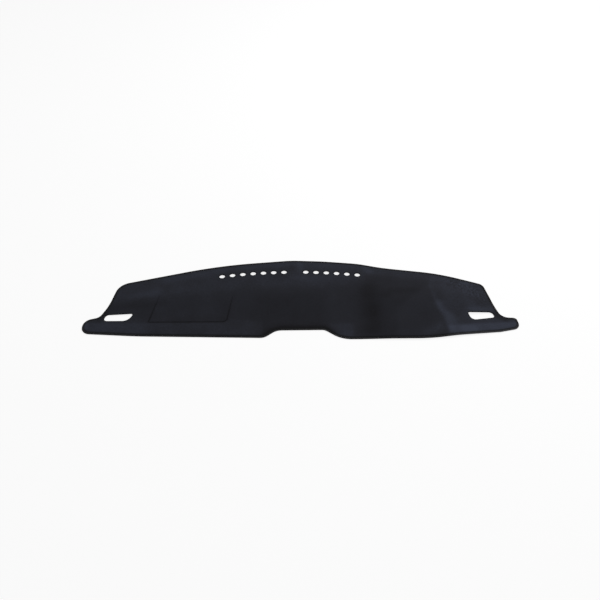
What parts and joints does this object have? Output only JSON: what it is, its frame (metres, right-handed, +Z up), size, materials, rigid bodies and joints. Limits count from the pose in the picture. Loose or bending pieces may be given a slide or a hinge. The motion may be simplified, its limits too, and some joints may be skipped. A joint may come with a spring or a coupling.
{
  "type": "dashboard cover mat",
  "caption": "Black cloth mat cut to a dashboard's top, with a bound edge, a row of round demister holes, side vent openings, a front notch and an airbag flap slit.",
  "frame": {"origin": "middle of the mat's footprint, on the surface that it lies on", "axes": "+X along the dashboard, towards the side without the airbag flap; +Y towards the windscreen; +Z up"},
  "size_m": [1.4996, 0.3972, 0.0174],
  "materials": {
    "brushed_cloth": "brushed, matt",
    "woven_tape": "woven, matt"
  },
  "bodies": {
    "root": {"mat_sheet": "brushed_cloth", "edge_binding": "woven_tape"}
  },
  "joints": []
}
